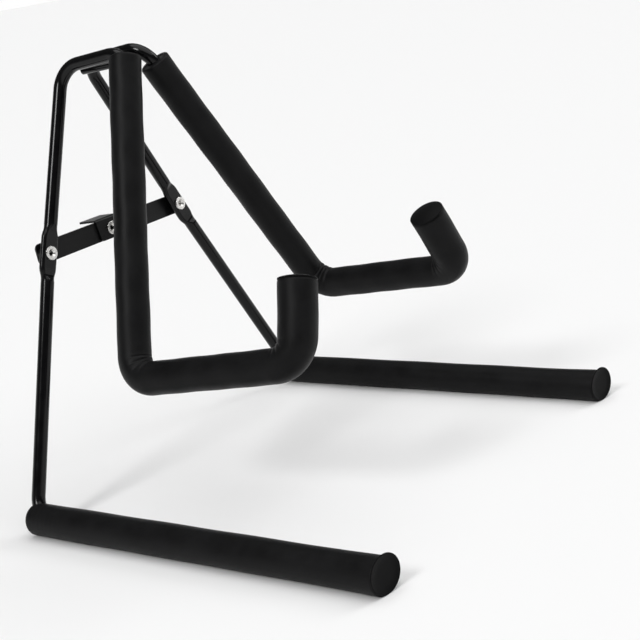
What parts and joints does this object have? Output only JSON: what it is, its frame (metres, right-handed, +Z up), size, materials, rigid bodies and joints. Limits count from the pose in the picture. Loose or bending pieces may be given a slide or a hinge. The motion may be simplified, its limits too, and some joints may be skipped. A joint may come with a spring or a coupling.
{
  "type": "guitar stand",
  "caption": "Folding A-frame guitar stand of black bent tube with foam sleeves, cradle arms, a top hinge and a riveted folding brace.",
  "frame": {"origin": "centre of the bounding box, on the floor the feet stand on", "axes": "+Z up; -Y is the front, where the guitar sits; +Y is the rear; -X is the left side seen from the front's left"},
  "size_m": [0.3215, 0.3276, 0.3072],
  "materials": {
    "frame_gloss_black": "gloss black enamel",
    "brace_black": "satin black",
    "foam_black": "matte closed-cell foam",
    "cap_black": "matte",
    "zinc": "bright zinc plate"
  },
  "bodies": {
    "left_side": {"left_frame_tube": "frame_gloss_black", "left_arm_foam": "foam_black", "left_foot_foam": "foam_black", "left_tip_cap": "cap_black", "left_foot_cap": "cap_black", "left_hinge_leaf": "frame_gloss_black", "hinge_pin": "zinc", "left_pivot_rivet": "zinc", "left_pivot_spacer": "brace_black"},
    "right_side": {"right_frame_tube": "frame_gloss_black", "right_arm_foam": "foam_black", "right_foot_foam": "foam_black", "right_tip_cap": "cap_black", "right_foot_cap": "cap_black", "right_hinge_leaf": "frame_gloss_black", "right_rivet_head": "zinc"},
    "left_link": {"left_brace_link": "brace_black", "centre_rivet": "zinc"},
    "right_link": {"right_brace_link": "brace_black", "right_rivet_tail": "brace_black", "right_pivot_spacer": "brace_black"}
  },
  "joints": [
    {"name": "fold", "type": "hinge", "parent": "left_side", "child": "right_side", "pos_m": [0, 0.11786, 0.29463], "axis": [0, 0.998, -0.0625], "range_deg": [0, 46]},
    {"name": "left_link_pivot", "type": "hinge", "parent": "left_side", "child": "left_link", "pos_m": [-0.06996, 0.14126, 0.17678], "axis": [0, 0.998, -0.0625], "range_deg": [-51.5, 0]},
    {"name": "brace_centre", "type": "hinge", "parent": "left_link", "child": "right_link", "pos_m": [0, 0.14126, 0.17678], "axis": [0, 0.998, -0.0625], "range_deg": [0, 149]}
  ],
  "couplings": [
    {"joint": "left_link_pivot", "follows": "fold", "ratio": -1.1137},
    {"joint": "brace_centre", "follows": "fold", "ratio": 3.2274}
  ]
}
